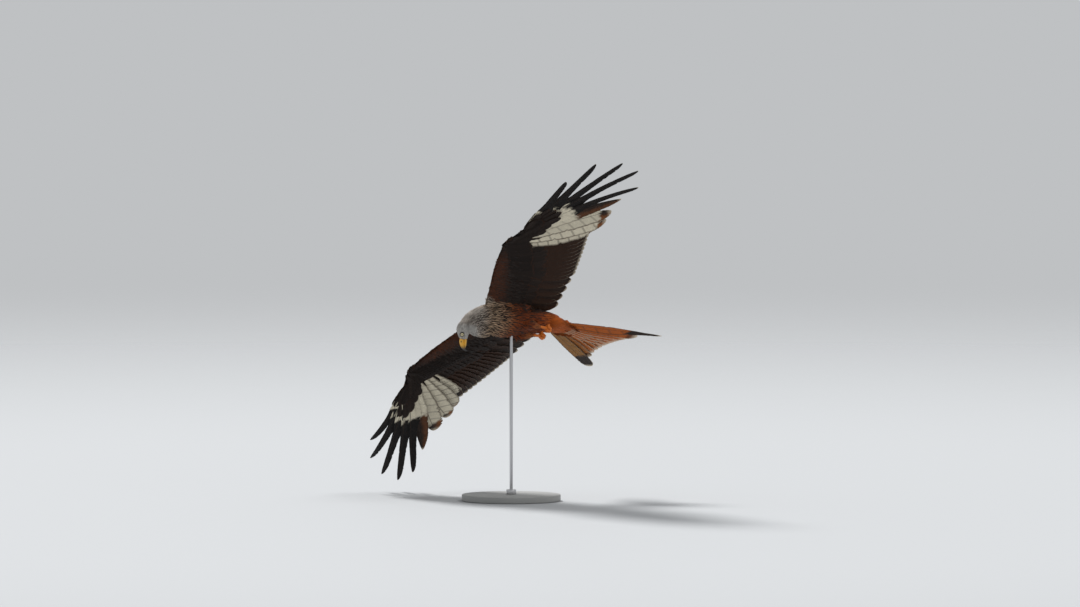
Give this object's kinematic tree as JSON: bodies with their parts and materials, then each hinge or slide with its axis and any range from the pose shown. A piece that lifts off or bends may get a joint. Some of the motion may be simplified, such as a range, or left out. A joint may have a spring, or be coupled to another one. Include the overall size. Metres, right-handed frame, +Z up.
{
  "type": "red kite display model",
  "caption": "Life-size still model of a red kite gliding in a steep bank, head turned down, wings and forked tail spread, held on a round base by one upright rod.",
  "frame": {"origin": "middle of the underside of the stand's base, on the floor", "axes": "+Z up; the picture is taken looking along +Y with +X to the right; the bird heads towards -X and -Y"},
  "size_m": [0.8939, 0.8933, 1.0452],
  "materials": {
    "plumage": "feathers: rufous and dark brown body and wings, streaked grey-white head and breast, white window at the base of the primaries, orange tail",
    "bill": "horn, yellow cere and base, darker hooked tip",
    "eye": "wet gloss, pale cream iris with a black pupil",
    "foot_skin": "scaly orange-yellow skin with black claws",
    "stand_paint": "matte grey paint",
    "stand_steel": "brushed rod with a turned collar"
  },
  "bodies": {
    "root": {"torso": "plumage", "neck": "plumage", "head": "plumage", "bill_upper": "bill", "bill_lower": "bill", "eye_left": "eye", "eye_right": "eye", "wing_left_arm": "plumage", "wing_left_hand": "plumage", "wing_right_arm": "plumage", "wing_right_hand": "plumage", "tail": "plumage", "leg_left": "plumage", "leg_right": "plumage", "foot_left": "foot_skin", "foot_right": "foot_skin", "stand_base": "stand_paint", "stand_rod": "stand_steel"}
  },
  "joints": []
}
